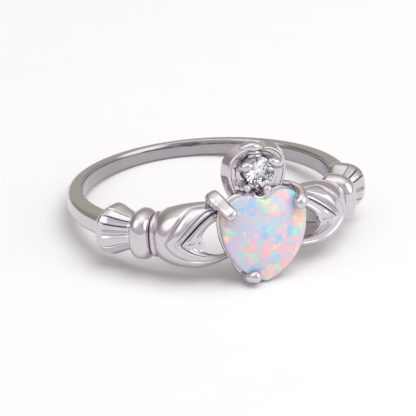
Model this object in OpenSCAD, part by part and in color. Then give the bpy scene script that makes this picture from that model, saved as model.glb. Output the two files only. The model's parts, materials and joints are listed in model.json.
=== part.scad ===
// Claddagh ring with a heart-shaped opal and a small round brilliant in its crown.
// It is drawn upright about the finger's axis, with the heart towards -Y and the crown up,
// and then laid on its side: it rests on the heart's tip and on the band's lower back edge.
// Places round the band are angles about the finger's axis, 0 at the heart and + towards +X.

/* [Finger bore] */
// Inner diameter, about a size 7
bore_d = 17.3; // [15:0.1:21]

/* [Band] */
// Width beside the cuffs, along the finger
band_w = 1.45; // [1.3:0.05:1.9]
// Width at the back of the finger
band_back_w = 1.15; // [0.9:0.05:1.3]
// Thickness at the back of the finger
band_back_t = 0.9; // [0.8:0.05:1.1]
// Thickness at the two sides of the finger
band_side_t = 1.3; // [1.15:0.05:1.5]
// Rounding of the band's outer edges
band_edge_r = 0.3; // [0.1:0.05:0.4]

/* [Cuffs] */
// Length along the finger bore
cuff_l = 2.2; // [1.8:0.1:2.8]
// Height at the flare, along the finger
cuff_flare_w = 3.4; // [3:0.05:3.8]
// Height at the waist, along the finger
cuff_waist_w = 2.35; // [2.1:0.05:2.7]
// Thickness at the flare, out from the bore
cuff_t = 2.4; // [2.1:0.05:2.6]
// Number of grooves round a cuff
cuff_grooves = 7; // [5:1:13]
// Depth of the grooves at the waist
cuff_groove_depth = 0.13; // [0.05:0.01:0.2]

/* [Beads] */
// Length of the bead along the bore
bead_l = 1.2; // [1:0.05:1.5]
// Height of the bead, along the finger
bead_w = 3.4; // [3.2:0.05:3.8]
// Thickness of the bead, out from the bore
bead_t = 2.25; // [2:0.05:2.5]
// Length of the thin roll beside the hand, along the bore
roll_l = 0.28; // [0.24:0.02:0.4]
// Height of the roll, along the finger
roll_w = 3.05; // [2.8:0.05:3.3]
// Thickness of the roll, out from the bore
roll_t = 1.8; // [1.65:0.05:1.95]

/* [Hands] */
// Length along the bore, from the heart's side to the roll
hand_l = 3.6; // [3.2:0.05:4.2]
// Height, along the finger
hand_w = 4.5; // [4.2:0.05:4.8]
// Thickness at the crest, out from the bore
hand_t = 2.25; // [2.1:0.05:2.4]
// Length of the pierced window, along the bore
window_l = 0.95; // [0.6:0.05:1.2]
// Depth of the folds
fold_depth = 0.16; // [0.05:0.01:0.25]

/* [Heart stone] */
// Width across the lobes
heart_w = 6; // [5.6:0.05:6.4]
// Radius of each lobe
lobe_r = 1.77; // [1.65:0.01:1.9]
// Distance from the lobes' widest line to the pointed tip
heart_drop = 4.35; // [4:0.05:4.6]
// Rounding of the tip
heart_tip_r = 0.35; // [0.2:0.05:0.5]
// Rounding of the notch between the lobes
notch_r = 0.45; // [0.3:0.05:0.6]
// Height of the lobes' widest line above the band's middle
lobe_z = 1.05; // [0.9:0.05:1.2]
// Thickness of the stone at its rim
stone_rim_t = 0.42; // [0.3:0.02:0.6]
// Rise of the dome above the rim
dome_h = 0.55; // [0.3:0.05:0.8]

/* [Heart setting] */
// Distance from the finger's axis to the seat under the stone, past the bore
seat_out = 1.35; // [1.2:0.05:1.6]
// Depth of the setting behind the stone
setting_t = 1.05; // [0.9:0.05:1.2]
// Wall of the setting round its opening
setting_wall = 0.8; // [0.6:0.05:1]
// Reach of the setting's rim past the stone
setting_rim = 0.06; // [0.02:0.01:0.1]
// How far the setting narrows towards the finger
setting_taper = 0.35; // [0.1:0.05:0.4]
// Gap between a stone and its metal
stone_gap = 0.03; // [0.02:0.01:0.06]

/* [Claws] */
// Diameter of the two claws on the heart's shoulders
claw_d = 0.76; // [0.6:0.02:0.9]
// Diameter of the claw beside the tip
tip_claw_d = 0.8; // [0.6:0.02:0.9]
// Diameter of the ball on the claw beside the tip
tip_ball_d = 0.98; // [0.8:0.02:1.1]

/* [Crown] */
// Width across the lobes
crown_w = 4.1; // [3.8:0.05:4.3]
// Height above its foot
crown_h = 3.25; // [3:0.05:3.5]
// Height of its foot above the band's middle
crown_z = 2.4; // [2.2:0.05:2.5]
// Thickness from back to front
crown_t = 0.8; // [0.7:0.05:1]
// Distance of its back past the bore
crown_out = 0.08; // [0.04:0.02:0.2]
// Depth of the channels in its lobes
channel_depth = 0.28; // [0.1:0.02:0.35]
// Width of the folded leaf on its top
leaf_w = 1.3; // [1.1:0.05:1.5]
// Thickness of the leaf
leaf_d = 0.54; // [0.45:0.01:0.6]

/* [Crown stone] */
// Diameter
brilliant_d = 2; // [1.8:0.05:2.1]
// Height of its middle above the crown's foot
brilliant_z = 1.74; // [1.65:0.05:1.85]
// Distance from the crown's back to the girdle
brilliant_out = 1.25; // [1.2:0.05:1.4]
// Diameter of its claws
pin_d = 0.42; // [0.36:0.02:0.5]

/* [Hidden] */
$fn = 96;

silver = "#c9c4c8";
opal = "#dfe3f2";
clear_stone = "#eef2f5";

bore_r = bore_d / 2;
past_bore = 0.4;        // how far a piece reaches into the bore before the bore is cut

// Angles where the pieces of an arm start, from the heart outward
heart_side_deg = asin(heart_w / 2 / (bore_r + seat_out));
roll_deg = heart_side_deg + arc_deg(hand_l);
bead_deg = roll_deg + arc_deg(roll_l);
cuff_deg = bead_deg + arc_deg(bead_l);
shoulder_deg = cuff_deg + arc_deg(cuff_l);

function arc_deg(length) = length / bore_r * 180 / PI;
function polar(az, r, z) = [r * sin(az), -r * cos(az), z];
function mix(a, b, share) = a + (b - a) * share;
function unit(v) = v / norm(v);
function mean(points) = [for (p = points) 1] * points / len(points);
function arc_points(centre, r, from, to, steps, first = 0) =
    [for (i = [first : steps]) let (a = mix(from, to, i / steps)) centre + r * [cos(a), sin(a)]];

// Reads a table by its first column, with a smooth curve through the rows
function row_at(table, x, i = 0) = i < len(table) - 2 && x > table[i + 1][0] ? row_at(table, x, i + 1) : i;
function slope(table, i, col) =
    let (a = table[max(i - 1, 0)], b = table[min(i + 1, len(table) - 1)]) (b[col] - a[col]) / (b[0] - a[0]);
function curve(table, x, col) =
    let (
        i = row_at(table, x),
        a = table[i],
        b = table[i + 1],
        step = b[0] - a[0],
        s = min(max((x - a[0]) / step, 0), 1)
    )
    (2 * s ^ 3 - 3 * s ^ 2 + 1) * a[col] + (3 * s ^ 2 - 2 * s ^ 3) * b[col]
    + step * ((s ^ 3 - 2 * s ^ 2 + s) * slope(table, i, col) + (s ^ 3 - s ^ 2) * slope(table, i + 1, col));

// A closed solid through rings of points that all have the same count
module loft(rings) {
    n = len(rings[0]);
    count = len(rings);
    last = (count - 1) * n;
    sides = [
        for (i = [0 : count - 2], j = [0 : n - 1])
        let (a = i * n + j, b = i * n + (j + 1) % n)
        each [[a, b, b + n], [a, b + n, a + n]]
    ];
    ends = [
        for (j = [0 : n - 1])
        let (k = (j + 1) % n)
        each [[k, j, count * n], [last + j, last + k, count * n + 1]]
    ];
    polyhedron(
        concat([for (ring = rings) each ring], [mean(rings[0]), mean(rings[count - 1])]),
        concat(sides, ends)
    );
}

// Wire with a rounded end, through path rows of [point, radius]. side is a vector across the wire, and
// flat is its thickness the other way, as a share of its width along side
module wire(rows, side, sides = 12, flat = 1) {
    last = len(rows) - 1;
    function along(i) = unit(rows[min(i + 1, last)][0] - rows[max(i - 1, 0)][0]);
    function ring(centre, r, dir) =
        let (across = unit(side - dir * (side * dir)), up = cross(dir, across))
        [
            for (k = [0 : sides - 1])
            let (a = 360 / sides * k)
            centre + r * (cos(a) * across + flat * sin(a) * up)
        ];
    body = [for (i = [0 : last]) ring(rows[i][0], rows[i][1], along(i))];
    tip = rows[last];
    cap = [for (a = [30, 58, 82]) ring(tip[0] + tip[1] * sin(a) * along(last), tip[1] * cos(a), along(last))];
    loft([for (ring = concat(body, cap)) [for (k = [sides - 1 : -1 : 0]) ring[k]]]);
}

// Band: an outer cylinder that is set off towards the heart, so that the band is thin at the back,
// with its two faces sloped so that it is narrow there too
module band() {
    side_r = bore_r + band_side_t;
    set_off = band_side_t - band_back_t;
    half = band_w / 2;
    back_y = side_r - set_off;
    front_y = -bore_r * cos((cuff_deg + shoulder_deg) / 2);
    intersection() {
        translate([0, -set_off, 0])
            rotate_extrude()
                polygon(concat(
                    [[bore_r - past_bore - set_off, -half], [side_r - band_edge_r, -half]],
                    arc_points([side_r - band_edge_r, band_edge_r - half], band_edge_r, -90, 0, 4),
                    arc_points([side_r - band_edge_r, half - band_edge_r], band_edge_r, 0, 90, 4),
                    [[bore_r - past_bore - set_off, half]]
                ));
        rotate([90, 0, 90])
            translate([0, 0, -bore_d])
                linear_extrude(2 * bore_d)
                    polygon([
                        [front_y, -half], [back_y, -band_back_w / 2],
                        [back_y + band_w, -band_back_w / 2], [back_y + band_w, band_back_w / 2],
                        [back_y, band_back_w / 2], [front_y, half]
                    ]);
    }
}

// Arm profile, from the cuff's shoulder to the roll: a section is flat on the finger's side and
// round outside. Shares of the cuff's length, of its height and thickness from waist to flare, and
// of its groove depth
CUFF_ROWS = [
    // along, height, thickness, grooves
    [0.00, -0.85, -0.40, 0.0],
    [0.03, -0.25, 0.40, 0.0],
    [0.08, 0.25, 0.72, 0.0],
    [0.17, 0.70, 0.93, 0.0],
    [0.27, 0.95, 1.00, 0.1],
    [0.36, 1.00, 0.97, 0.5],
    [0.48, 0.90, 0.86, 0.9],
    [0.62, 0.56, 0.58, 1.0],
    [0.78, 0.22, 0.26, 1.0],
    [0.90, 0.06, 0.08, 1.0],
    [1.00, 0.00, 0.00, 1.0]
];

waist_t = 0.64;          // thickness at the waist, as a share of the flare's
section_low = 0.42;      // distance out from the bore at which a section is highest
groove_steps = 5;        // points across each groove
round_steps = 7;         // sections across a bead or roll
crease = 0.25;           // height left at the ends of a bead or roll, as a share of its swelling
arm_power = 2.7;         // 2 is an ellipse and more is boxier, for a section of a cuff or bead
hand_power = 2.3;        // the same for a hand
inner_share = 0.86;      // height on the finger's side, as a share of a section's height

function arm_section(az, height, out, groove) =
    let (
        steps = (cuff_grooves + 1) * groove_steps,
        low = bore_r + section_low,
        inner = height / 2 * inner_share
    )
    concat(
        [for (r = [bore_r, bore_r - past_bore]) polar(az, r, inner)],
        [for (r = [bore_r - past_bore, bore_r]) polar(az, r, -inner)],
        [
            for (i = [0 : steps])
            let (
                a = mix(-90, 90, i / steps),
                valley = (0.5 + 0.5 * cos(360 * i / groove_steps)) ^ 2,
                fit = 1 - groove * valley * (1 - abs(sin(a)) ^ 9) / out
            )
            polar(
                az,
                low + (out - section_low) * cos(a) ^ (2 / arm_power) * fit,
                height / 2 * sign(a) * abs(sin(a)) ^ (2 / arm_power) * fit
            )
        ]
    );

function round_sections(from, to, height, out) =
    [
        for (i = [0 : round_steps])
        let (x = -cos(180 * i / round_steps), swell = sqrt(1 - x ^ 2 * (1 - crease ^ 2)))
        arm_section(
            mix(from, to, (x + 1) / 2),
            mix(cuff_waist_w, height, swell),
            mix(cuff_t * waist_t, out, swell),
            0
        )
    ];

module arm() {
    cuff = [
        for (row = CUFF_ROWS)
        arm_section(
            mix(shoulder_deg, cuff_deg, row[0]),
            mix(cuff_waist_w, cuff_flare_w, row[1]),
            mix(cuff_t * waist_t, cuff_t, row[2]),
            cuff_groove_depth * row[3]
        )
    ];
    bead = round_sections(cuff_deg - 0.3, bead_deg, bead_w, bead_t);
    roll = round_sections(bead_deg - 0.2, roll_deg - 0.8, roll_w, roll_t);
    sections = concat(cuff, bead, roll);
    loft([for (i = [len(sections) - 1 : -1 : 0]) sections[i]]);
}

// Hand: a sheet that fans round the pierced window, from the upper arm of the hand round its palm
// to the lower arm. Each row is a fold line: where it crosses the palm, as a share of the way from
// the wrist to the window; how far up and down it ends beside the heart, as shares of half the hand's
// height there; how soon it gets there, as a share of its length, and how bluntly it leaves the
// palm, a small number for a round turn and 1 for a sharp one; and how far it stands proud, in folds
FOLD_ROWS = [
    // palm, up, reach, blunt, down, reach, blunt, proud
    [0.000, 1.000, 0.05, 0.50, 1.00, 0.05, 0.50, 0.0],
    [0.100, 0.985, 0.25, 0.90, 0.93, 0.40, 0.40, 0.3],
    [0.190, 0.965, 0.35, 1.00, 0.82, 0.60, 0.45, 0.4],
    [0.295, 0.945, 0.42, 1.00, 0.75, 0.75, 0.48, 0.1],
    [0.325, 0.930, 0.45, 1.00, 0.72, 0.80, 0.49, -0.9],
    [0.360, 0.910, 0.50, 1.00, 0.69, 0.80, 0.52, 0.4],
    [0.470, 0.870, 0.70, 1.00, 0.65, 0.80, 0.62, 1.0],
    [0.580, 0.830, 0.90, 1.00, 0.62, 0.80, 0.74, 0.5],
    [0.628, 0.800, 1.00, 1.00, 0.60, 0.80, 0.80, -0.8],
    [0.680, 0.770, 1.00, 0.90, 0.59, 0.80, 0.75, 0.3],
    [0.780, 0.710, 0.95, 0.80, 0.58, 0.85, 0.68, 0.3],
    [0.880, 0.630, 0.90, 0.65, 0.59, 0.90, 0.60, -0.2],
    [0.960, 0.570, 0.85, 0.55, 0.61, 0.95, 0.52, 0.0],
    [1.000, 0.540, 0.85, 0.50, 0.63, 1.00, 0.50, -0.3]
];
WRIST_TO_TIP = [
    // along, half height above, half height below, thickness
    [0.00, 0.60, 0.64, 0.76],
    [0.10, 0.75, 0.78, 0.91],
    [0.25, 0.87, 0.91, 1.00],
    [0.45, 0.96, 0.98, 1.00],
    [0.60, 0.99, 0.98, 0.88],
    [0.80, 1.00, 0.88, 0.73],
    [1.00, 0.98, 0.70, 0.60]
];
hand_steps = 14;         // stations from the palm to an end
palm_drop = 0.1;         // how far the palm's fold lines turn below the band's middle
upper_lap = 0.35;        // how far the hand's upper arm reaches past the heart's side, along the bore
lower_lap = 0.95;        // the same for the lower arm, which meets the heart where it is narrower

module hand() {
    wrist_deg = roll_deg + 0.4;
    window_deg = heart_side_deg + arc_deg(window_l);
    function station(t) =
        let (
            up = t > 0,
            along = abs(t) ^ 1.35,
            tip_deg = heart_side_deg - arc_deg(up ? upper_lap : lower_lap)
        )
        [
            for (row = FOLD_ROWS)
            let (
                az = mix(mix(wrist_deg, window_deg, row[0]), tip_deg, along),
                way = (wrist_deg - az) / (wrist_deg - tip_deg),
                half = hand_w / 2 * curve(WRIST_TO_TIP, way, up ? 1 : 2),
                crest = hand_t * curve(WRIST_TO_TIP, way, 3),
                end = up ? [row[1], row[2], row[3]] : [row[4], row[5], row[6]],
                rise = end[0] * sin(90 * min(along / end[1], 1)) ^ end[2],
                fall = (1 - rise ^ hand_power) ^ (1 / hand_power)
            )
            polar(
                az,
                bore_r + section_low + (crest - section_low + row[7] * fold_depth) * fall,
                (up ? half : -half) * rise - palm_drop * row[0] * cos(90 * along) * (1 - rise)
            )
        ];
    function inside(p, share) =
        [p.x, p.y, 0] * (bore_r - past_bore) / norm([p.x, p.y]) + [0, 0, p.z * share];
    loft([
        for (i = [-hand_steps : hand_steps])
        let (front = station(i / hand_steps))
        concat(front, [inside(front[len(front) - 1], 1), inside(front[0], inner_share)])
    ]);
}

// Heart: a notch arc, two lobes, two side arcs and a small tip arc, each tangent to the next
lobe_mid = [heart_w / 2 - lobe_r, lobe_z];
side_arc_r = (heart_drop ^ 2 + (heart_w / 2) ^ 2) / heart_w;
side_mid = [heart_w / 2 - side_arc_r, lobe_z];
heart_bottom_z = lobe_z - sqrt((side_arc_r - heart_tip_r) ^ 2 - side_mid.x ^ 2) - heart_tip_r;
side_turn = -atan2(heart_drop, -side_mid.x);
notch_mid = [0, lobe_z + sqrt((lobe_r + notch_r) ^ 2 - lobe_mid.x ^ 2)];
notch_turn = atan2(notch_mid.y - lobe_z, -lobe_mid.x);

// Outline in the heart's own plane, X across and Y up, set out by grow
function heart_outline(grow) =
    let (
        tip_r = max(heart_tip_r + grow, 0.05),
        tip_z = lobe_z - sqrt((side_arc_r + grow - tip_r) ^ 2 - side_mid.x ^ 2),
        turn = -atan2(lobe_z - tip_z, -side_mid.x),
        right = concat(
            arc_points(notch_mid, notch_r - grow, -90, notch_turn - 180, 3),
            arc_points(lobe_mid, lobe_r + grow, notch_turn, 0, 9, 1),
            arc_points(side_mid, side_arc_r + grow, 0, turn, 8, 1),
            arc_points([0, tip_z], tip_r, turn, -90, 3, 1)
        )
    )
    concat(right, [for (i = [len(right) - 2 : -1 : 1]) [-right[i].x, right[i].y]]);

// The planes that face along the heart, as distances from the finger's axis
seat_q = bore_r + seat_out;
stone_back_q = seat_q + stone_gap;
stone_rim_q = stone_back_q + stone_rim_t;
dome_q = stone_rim_q + dome_h;

// The dome is part of a ball, centred a little below the middle of the heart
dome_z = lobe_z - heart_drop * 0.3;
dome_reach = heart_w / 2;
dome_r = (dome_reach ^ 2 + dome_h ^ 2) / (2 * dome_h);

// Lays children drawn in X and Y on a plane facing the heart's way, extruded outward
module on_plane(q) translate([0, -q, 0]) rotate([90, 0, 0]) children();
function at_plane(p, q) = [p.x, -q, p.y];

module heart_setting() {
    back_q = seat_q - setting_t;
    difference() {
        loft([
            for (row = [[back_q, -setting_taper], [seat_q - setting_t * 0.25, 0], [seat_q, setting_rim]])
            [for (p = heart_outline(row[1])) at_plane(p, row[0])]
        ]);
        on_plane(back_q - 1) linear_extrude(setting_t + 2) polygon(heart_outline(-setting_wall));
    }
}

module stone_shape() {
    intersection() {
        on_plane(stone_back_q) linear_extrude(stone_rim_t + dome_h) polygon(heart_outline(0));
        translate([0, dome_r - dome_q, dome_z]) sphere(dome_r);
    }
}

// Claws of the heart. Rows give the way out from a lobe's middle, how far past the stone the wire's
// side stands, its share of the way from the setting's back to its own top, and its radius; lengths
// are in wire radii
claw_r = claw_d / 2;
tip_claw_r = tip_claw_d / 2;
tip_ball_r = tip_ball_d / 2;
claw_back_q = seat_q - setting_t;
claw_top_q = stone_rim_q + claw_r + stone_gap;
LEFT_CLAW_ROWS = [
    // angle, out, forward, radius
    [46, 0.40, 0.00, 1.50],
    [46, 0.30, 0.35, 1.50],
    [46, 0.20, 0.60, 1.40],
    [46, 0.10, 0.80, 1.30],
    [46, -0.4, 0.96, 1.20]
];
RIGHT_CLAW_ROWS = [
    // angle, out, forward, radius
    [76, -0.7, 0.18, 0.88],
    [70, -0.4, 0.29, 0.90],
    [62, -0.1, 0.45, 0.92],
    [56, 0.00, 0.60, 0.95],
    [50, 0.00, 0.73, 0.97],
    [46, -0.1, 0.83, 1.00],
    [42, -0.35, 0.92, 1.00]
];
left_claw_turn = 46;     // angle at which the left claw's end lies over the stone
right_claw_turn = 38;    // the same for the right claw
left_claw_flat = 0.75;   // the left claw's thickness, as a share of its width
claw_reach = 0.48;       // how far a shoulder claw's end lies inside the stone's outline

function lobe_point(angle, out, q) = at_plane(lobe_mid + (lobe_r + out) * [cos(angle), sin(angle)], q);
// Moves a place over the stone to where a ball of that radius all but rests on the dome
function over_dome(p, r) =
    [p.x, dome_r - dome_q - sqrt((dome_r + r + stone_gap) ^ 2 - p.x ^ 2 - (p.z - dome_z) ^ 2), p.z];

module shoulder_claw(rows, end_angle, flat = 1) {
    end_r = claw_r * rows[len(rows) - 1][3];
    wire(concat(
        [
            for (row = rows)
            let (out = (row[1] + row[3] * flat) * claw_r + stone_gap)
            [lobe_point(row[0], out, mix(claw_back_q, claw_top_q, row[2])), claw_r * row[3]]
        ],
        [[over_dome(lobe_point(end_angle, -claw_reach, 0), end_r * flat), end_r]]
    ), [-1, 0, 1], 12, flat);
}

// Bridge from the left claw to the crown's foot
module claw_bridge() {
    wire([
        [lobe_point(50, claw_r * 0.8, claw_back_q + claw_r), claw_r * 0.9],
        [lobe_point(66, claw_r * 0.3, claw_back_q + claw_r), claw_r * 0.9],
        [lobe_point(84, -claw_r * 0.3, claw_back_q + claw_r * 0.8), claw_r * 0.9]
    ], [0, 1, 0], 8);
}

// The claw beside the tip stands this far down the heart's left side
TIP_CLAW_ROWS = [
    // share of the turn, out, forward, share from stem to ball
    [0.61, -0.3, 0.00, 0.0],
    [0.69, 1.0, 0.35, 0.0],
    [0.71, 1.3, 0.60, 0.0],
    [0.71, 1.2, 0.80, 0.2],
    [0.71, 0.8, 1.00, 0.8]
];
tip_claw_turn = 0.715;   // where its ball is, as a share of the turn
tip_claw_in = 0.05;      // how far the ball's middle lies inside the stone's outline

function side_point(share, out, q) =
    let (a = side_turn * share)
    at_plane([-side_mid.x - (side_arc_r + out) * cos(a), lobe_z + (side_arc_r + out) * sin(a)], q);
tip_ball_mid = over_dome(side_point(tip_claw_turn, -tip_claw_in, 0), tip_ball_r);

module tip_claw() {
    wire(concat(
        [
            for (row = TIP_CLAW_ROWS)
            [
                side_point(row[0], row[1] * tip_claw_r + stone_gap, mix(claw_back_q, claw_top_q, row[2])),
                mix(tip_claw_r, tip_ball_r, row[3])
            ]
        ],
        [[tip_ball_mid, tip_ball_r]]
    ), [1, 0, -1]);
}

// Crown: two scooped lobes round the small stone's seat. Outline rows go from the foot over the top:
// share of the way, share of half the width, share of the height
LOBE_OUTLINE = [
    // along, across, up
    [0.00, 0.78, 0.00],
    [0.15, 0.90, 0.17],
    [0.30, 0.98, 0.38],
    [0.44, 1.00, 0.56],
    [0.58, 0.91, 0.78],
    [0.72, 0.66, 0.93],
    [0.86, 0.36, 1.00],
    [1.00, 0.14, 0.93]
];
// Relief across a lobe: share of the way in, and how deep it lies, in channel depths
LOBE_RELIEF = [
    // in, depth
    [0.00, 0.25],
    [0.10, 0.0],
    [0.20, 0.1],
    [0.38, 1.0],
    [0.52, 0.7],
    [0.60, 0.15],
    [0.70, 0.3],
    [0.86, 1.1],
    [1.00, 1.1]
];
crown_back_q = bore_r + crown_out;
crown_front_q = crown_back_q + crown_t;
brilliant_mid = [0, crown_z + brilliant_z];
brilliant_r = brilliant_d / 2;
girdle_q = crown_back_q + brilliant_out;
lobe_steps = 14;         // stations along a lobe
lobe_flare = 0.2;        // how much wider a lobe is at its back than at its front
lobe_inner = 0.9;        // reach of a lobe's inner edge from the small stone's middle, in its radii
lobe_foot_turn = -62;    // angle of the inner edge's end at the foot
lobe_top_turn = 88;      // angle of the inner edge's end at the top

module crown_lobe() {
    function station(t) =
        let (
            outer = [crown_w / 2 * curve(LOBE_OUTLINE, t, 1), crown_z + crown_h * curve(LOBE_OUTLINE, t, 2)],
            a = mix(lobe_foot_turn, lobe_top_turn, t),
            inner = brilliant_mid + brilliant_r * lobe_inner * [cos(a), sin(a)],
            back = outer + lobe_flare * unit(outer - brilliant_mid)
        )
        concat(
            [
                for (row = LOBE_RELIEF)
                at_plane(mix(outer, inner, row[0]), crown_front_q - channel_depth * row[1])
            ],
            [at_plane(inner, crown_back_q), at_plane(back, crown_back_q)]
        );
    loft([for (i = [0 : lobe_steps]) station(i / lobe_steps)]);
}

// Folded leaf on top of the crown, between the lobes: a roll with a lap below it. Rows are shares of
// its width, and of its thickness for the radius
LEAF_ROLL_ROWS = [
    // across, up, forward, radius
    [-0.48, -0.23, 0.08, 0.37],
    [-0.32, -0.02, 0.04, 0.50],
    [-0.06, 0.06, 0.00, 0.50],
    [0.15, -0.04, 0.04, 0.46],
    [0.26, -0.27, 0.09, 0.41],
    [0.14, -0.46, 0.15, 0.37]
];
LEAF_LAP_ROWS = [
    // across, up, forward, radius
    [-0.35, -0.08, 0.12, 0.37],
    [-0.19, -0.23, 0.23, 0.44],
    [-0.08, -0.38, 0.32, 0.37]
];

module crown_leaf() {
    mid_q = crown_back_q + crown_t / 2;
    top = [0, crown_z + crown_h];
    function path(rows) = [
        for (row = rows)
        [at_plane(top + leaf_w * [row[0], row[1]], mid_q + leaf_w * row[2]), leaf_d * row[3]]
    ];
    wire(path(LEAF_ROLL_ROWS), [0, 1, 0], 8);
    wire(path(LEAF_LAP_ROWS), [1, 0, 0], 8);
}

// Round brilliant: table, stars, bezels, upper and lower girdle facets and pavilion mains, in the
// usual proportions of such a stone
table_h = brilliant_d * 0.15;
pavilion_h = brilliant_d * 0.43;
girdle_h = brilliant_d * 0.03;
table_share = 0.57;      // reach of the table, of the star facets and of the lower halves, in radii
star_share = 0.8;
lower_share = 0.25;

// Seat of the small stone: a short tube whose mouth is a cone under the stone's pavilion, on a
// foot that joins it to the heart's setting
seat_tube_r = brilliant_r * 0.94;
seat_bore_r = brilliant_r * 0.6;
seat_front_q = girdle_q - pavilion_h * 0.3;
foot_t = 0.4;            // thickness of the foot
foot_share = 0.6;        // where the foot starts, in lobe radii above the lobes' middle

module crown_seat() {
    $fn = 48;
    foot_z = lobe_z + lobe_r * foot_share;
    cone_drop = stone_gap * 1.5;
    difference() {
        union() {
            on_plane(crown_back_q)
                translate(brilliant_mid) cylinder(h = seat_front_q - crown_back_q, r = seat_tube_r);
            translate([-brilliant_r, -crown_back_q - foot_t, foot_z])
                cube([brilliant_d, foot_t, brilliant_mid.y - foot_z]);
        }
        on_plane(bore_r - past_bore)
            translate(brilliant_mid) cylinder(h = past_bore + brilliant_out, r = seat_bore_r);
        on_plane(girdle_q - pavilion_h - cone_drop)
            translate(brilliant_mid) cylinder(h = pavilion_h, r1 = 0, r2 = brilliant_r);
    }
}

// Claws of the small stone: way round it, distance of the wire's middle past the stone at its root,
// and radius, in pin radii
PIN_ROWS = [
    // angle, root, size
    [142, -0.6, 1.20],
    [34, -0.6, 1.30],
    [222, -0.6, 1.00],
    [286, 0.4, 1.45]
];
pin_reach = 0.3;         // how far a claw's end lies inside the stone's outline, in its own radii
pin_lean = 0.24;         // how far its middle leans in above and below the girdle, in pin radii

module crown_pin(angle, root, size) {
    r = pin_d / 2 * size;
    crown_slope = (table_h - girdle_h / 2) / (brilliant_r * (1 - table_share));
    beside = brilliant_r + r + stone_gap;
    end = brilliant_r - pin_reach * r;
    end_h = girdle_h / 2 + (brilliant_r - end) * crown_slope + (r + stone_gap) * sqrt(1 + crown_slope ^ 2);
    function place(reach, q) = at_plane(brilliant_mid + reach * [cos(angle), sin(angle)], q);
    wire([
        [place(brilliant_r + root * r, crown_back_q + foot_t / 2), r],
        [place(beside - pin_lean * r, girdle_q - pavilion_h * 0.45), r],
        [place(beside, girdle_q - girdle_h), r],
        [place(beside - pin_lean * r, girdle_q + end_h * 0.6), r],
        [place(end, girdle_q + end_h), r]
    ], [-sin(angle), 0, cos(angle)], 10);
}

module brilliant_shape() {
    function ring(share, h, n, turn) = [
        for (i = [0 : n - 1])
        let (a = 360 / n * i + turn)
        [brilliant_r * share * cos(a), brilliant_r * share * sin(a), h]
    ];
    half = cos(22.5);
    star_h = mix(table_h, girdle_h / 2, (star_share * half - table_share) / (1 - table_share));
    lower_h = mix(-pavilion_h, -girdle_h / 2, lower_share * half);
    points = concat(
        ring(table_share, table_h, 8, 0),
        ring(star_share, star_h, 8, 22.5),
        ring(1, girdle_h / 2, 16, 0),
        ring(1, -girdle_h / 2, 16, 0),
        ring(lower_share, lower_h, 8, 22.5),
        [[0, 0, -pavilion_h]]
    );
    star = 8;
    top = 16;
    low = 32;
    main = 48;
    culet = 56;
    faces = concat(
        [[for (i = [7 : -1 : 0]) i]],
        [
            for (i = [0 : 7])
            let (next = (i + 1) % 8, before = (i + 7) % 8, g = 2 * i, h = 2 * i + 1, k = (2 * i + 2) % 16)
            each [
                [i, next, star + i],
                [i, star + i, top + g, star + before],
                [star + i, top + h, top + g],
                [star + i, top + k, top + h],
                [main + i, low + g, low + h],
                [main + i, low + h, low + k],
                [culet, main + before, low + g, main + i],
                [top + g, top + h, low + h, low + g],
                [top + h, top + k, low + k, low + h]
            ]
        ]
    );
    polyhedron(points, faces);
}

// How the ring lies: it tips about X until it rests on the heart's tip and on the band's lower back
// corner, where the band's slope has cut off part of the edge's rounding. Its box is centred
// between the claw's ball and the band
back_cut = max(band_edge_r - (band_w - band_back_w) / 2, 0);
back_corner_in = band_edge_r - sqrt(band_edge_r ^ 2 - back_cut ^ 2);
back_edge = [back_corner_in - bore_r - band_back_t, -band_back_w / 2];
front_edge = [seat_q, heart_bottom_z - setting_rim];
tilt = atan2(back_edge.y - front_edge.y, front_edge.x - back_edge.x);
drop = -(front_edge.y * cos(tilt) + front_edge.x * sin(tilt));
front_reach = tip_ball_r - tip_ball_mid.y * cos(tilt) - tip_ball_mid.z * sin(tilt);
back_reach = (bore_r + band_back_t) * cos(tilt);
forward = (front_reach - back_reach) / 2;

module lying() translate([0, forward, drop]) rotate([-tilt, 0, 0]) children();

module side_of_ring() {
    arm();
    hand();
}

module heart_mount() {
    heart_setting();
    tip_claw();
    shoulder_claw(RIGHT_CLAW_ROWS, right_claw_turn);
    mirror([1, 0, 0]) {
        shoulder_claw(LEFT_CLAW_ROWS, left_claw_turn, left_claw_flat);
        claw_bridge();
    }
}

module crown() {
    for (side = [0, 1]) mirror([side, 0, 0]) crown_lobe();
    crown_leaf();
    crown_seat();
    for (row = PIN_ROWS) crown_pin(row[0], row[1], row[2]);
}

// All that is carved or soldered on the band, joined as one shape at its own size
module carved_pieces() {
    resize([0, 0, 0])
        union() {
            side_of_ring();
            mirror([1, 0, 0]) side_of_ring();
            heart_mount();
            crown();
        }
}

module ring_body() {
    color(silver)
        lying()
            difference() {
                union() {
                    band();
                    carved_pieces();
                }
                cylinder(h = 2 * bore_d, r = bore_r, center = true);
            }
}

module heart_opal() {
    color(opal) lying() stone_shape();
}

module crown_stone() {
    color(clear_stone)
        lying()
            on_plane(girdle_q) translate([brilliant_mid.x, brilliant_mid.y, 0]) brilliant_shape();
}

ring_body();
heart_opal();
crown_stone();
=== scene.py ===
"""Claddagh ring with a heart-shaped opal: the finish of every surface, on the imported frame."""
import json

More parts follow.
